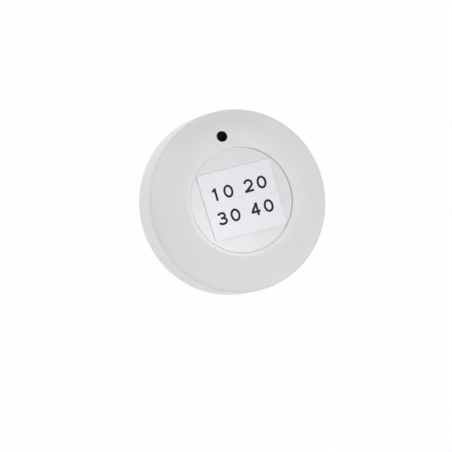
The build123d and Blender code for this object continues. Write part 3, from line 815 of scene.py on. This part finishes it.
def on_label(u, v):
    """Place on the label, in part coordinates, of a point of the unit square."""
    u, v = rounded(u, v)
    top_left, top_right, low_right, low_left = (Vector(c) for c in LABEL_CORNERS)
    return label_turned(top_left.lerp(top_right, u).lerp(low_left.lerp(low_right, u), 1 - v))


def label_sheet(built, lift):
    """Grid of points that follows the dished floor at a height above it."""
    sheet = []
    for v in grid_steps():
        spots = [on_label(u, v) for u in grid_steps()]
        sheet.append([built.verts.new(Vector((*spot, dish_z(*spot) + lift)) * MM) for spot in spots])
    return sheet


def add_label(material):
    """Label tape that follows the dished floor, cut a little out of square."""
    built = bmesh.new()
    low, high = (label_sheet(built, lift) for lift in (0.0, LABEL_THICKNESS))
    last = len(low) - 1
    for i in range(last):
        for j in range(last):
            built.faces.new((high[i][j], high[i][j + 1], high[i + 1][j + 1], high[i + 1][j]))
            built.faces.new((low[i][j], low[i + 1][j], low[i + 1][j + 1], low[i][j + 1]))
    border = [(0, j) for j in range(last)] + [(i, last) for i in range(last)]
    border += [(last, last - j) for j in range(last)] + [(last - i, 0) for i in range(last)]
    for (i, j), (k, m) in zip(border, border[1:] + border[:1]):
        built.faces.new((low[i][j], low[k][m], high[k][m], high[i][j]))
    bmesh.ops.recalc_face_normals(built, faces=built.faces)
    mesh = bpy.data.meshes.new("label_tape_cut")
    built.to_mesh(mesh)
    built.free()
    for face in mesh.polygons:
        face.use_smooth = abs(face.normal.z) > LEVEL_SLOPE
    piece = new_piece("label_tape_cut", mesh, material, "housing")
    bevel = piece.modifiers.new("edge", "BEVEL")
    bevel.width = BEVEL_WIDTH * MM
    bevel.segments = BEVEL_STEPS
    bevel.limit_method = "ANGLE"
    bevel.angle_limit = math.radians(BEVEL_ANGLE)
    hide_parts("label_tape")


def arc(middle, radii, start, end):
    """Points of an ellipse's arc between two angles."""
    count = max(2, round(abs(end - start) / ARC_STEP))
    angles = [math.radians(start + (end - start) * i / count) for i in range(count + 1)]
    (x, y), (across, up) = middle, radii
    return [Vector((x + across * math.cos(a), y + up * math.sin(a))) for a in angles]


def line(start, end):
    """Points of a straight stroke, in steps short enough to follow the dish."""
    start, end = Vector(start), Vector(end)
    count = math.ceil((end - start).length / STROKE_STEP)
    return [start.lerp(end, i / count) for i in range(count + 1)]


def digit_strokes(digit):
    """Middle lines of the strokes of 0, 1, 2, 3 or 4, in a box of the digit's size less one stroke."""
    w, h, half = DIGIT_WIDTH - STROKE, DIGIT_HEIGHT - STROKE, STROKE / 2
    if digit == "0":
        return [arc((w / 2, h / 2), (w / 2, h / 2), 0, 360)]
    if digit == "1":
        stem = 0.6 * w
        return [line((stem, -half), (stem, h + half)), line((stem - 0.56, h - 0.4), (stem, h - 0.03))]
    if digit == "2":
        bowl = arc((w / 2, 0.67 * h), (0.48 * w, 0.33 * h), 168, -48)
        return [bowl + line(bowl[-1], (0.03, 0))[1:], line((-half, 0), (w + 0.1, 0))]
    if digit == "3":
        waist = 0.52 * h
        upper = arc((0.47 * w, (h + waist) / 2), (0.44 * w, (h - waist) / 2), 158, -90)
        lower = arc((0.48 * w, waist / 2), (0.5 * w, waist / 2), 90, -160)
        return [upper, lower, line((0.3 * w, waist), (0.48 * w, waist))]
    stem, bar = 0.72 * w, 0.27 * h
    return [
        line((stem, -half), (stem, h + half)),
        line((-0.15, bar), (w + 0.12, bar)),
        line((-0.02, bar), (stem - 0.04, h)),
    ]


def add_ribbon(middles, points, quads):
    """Adds a stroke's ribbon, as four-sided cells between neighbouring points of its middle line."""
    closed = (middles[0] - middles[-1]).length < TOLERANCE
    first = len(points)
    for i, spot in enumerate(middles):
        before = middles[i - 1] if i else middles[-2 if closed else 0]
        after = middles[i + 1] if i + 1 < len(middles) else middles[1 if closed else -1]
        along = (after - before).normalized()
        across = Vector((-along.y, along.x)) * STROKE / 2
        points += [spot - across, spot + across]
    for i in range(len(middles) - 1):
        near, far = first + 2 * i, first + 2 * i + 2
        quads.append((near, far, far + 1, near + 1))


def row_cells(row):
    """Points and cells of a row of digits, with overlapping strokes run together."""
    points, quads = [], []
    left = row["left"] + STROKE / 2
    for sign in row["text"]:
        if sign == " ":
            left += GAP_PITCH
            continue
        for middles in digit_strokes(sign):
            placed = [Vector((left, row["base"] + STROKE / 2)) + m for m in middles]
            add_ribbon(placed, points, quads)
        left += DIGIT_PITCH
    spots, _, cells, _, _, sources = delaunay_2d_cdt(points, [], quads, 1, TOLERANCE)
    return spots, [cell for cell, source in zip(cells, sources) if source]


def add_numbers(row, index, material):
    """One printed row of numbers: a film of ink on the label."""
    spots, cells = row_cells(row)
    used = sorted({i for cell in cells for i in cell})
    place = {old: new for new, old in enumerate(used)}
    cells = [[place[i] for i in cell] for cell in cells]
    verts = []
    for lift in (-INK_THICKNESS, INK_THICKNESS):
        for i in used:
            spot = label_turned(spots[i])
            verts.append(Vector((*spot, dish_z(*spot) + LABEL_THICKNESS + lift)) * MM)
    count = len(used)
    edges = {(a, b) for cell in cells for a, b in zip(cell, cell[1:] + cell[:1])}
    faces = [[i + count for i in cell] for cell in cells] + [cell[::-1] for cell in cells]
    faces += [(a, b, b + count, a + count) for a, b in edges if (b, a) not in edges]
    mesh = bpy.data.meshes.new(f"label_numbers_{index}")
    mesh.from_pydata(verts, [], faces)
    new_piece(f"label_numbers_{index}", mesh, material, "housing")


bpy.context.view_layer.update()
housing_plastic = dress_nodes()
add_rim(housing_plastic)
add_label(label_film())
ink = label_ink()
for index, row in enumerate(ROWS):
    add_numbers(row, index, ink)
add_floor()
add_sky()
for lamp in LAMPS:
    add_lamp(**lamp)
add_camera()
bpy.context.scene.view_settings.view_transform = "Standard"
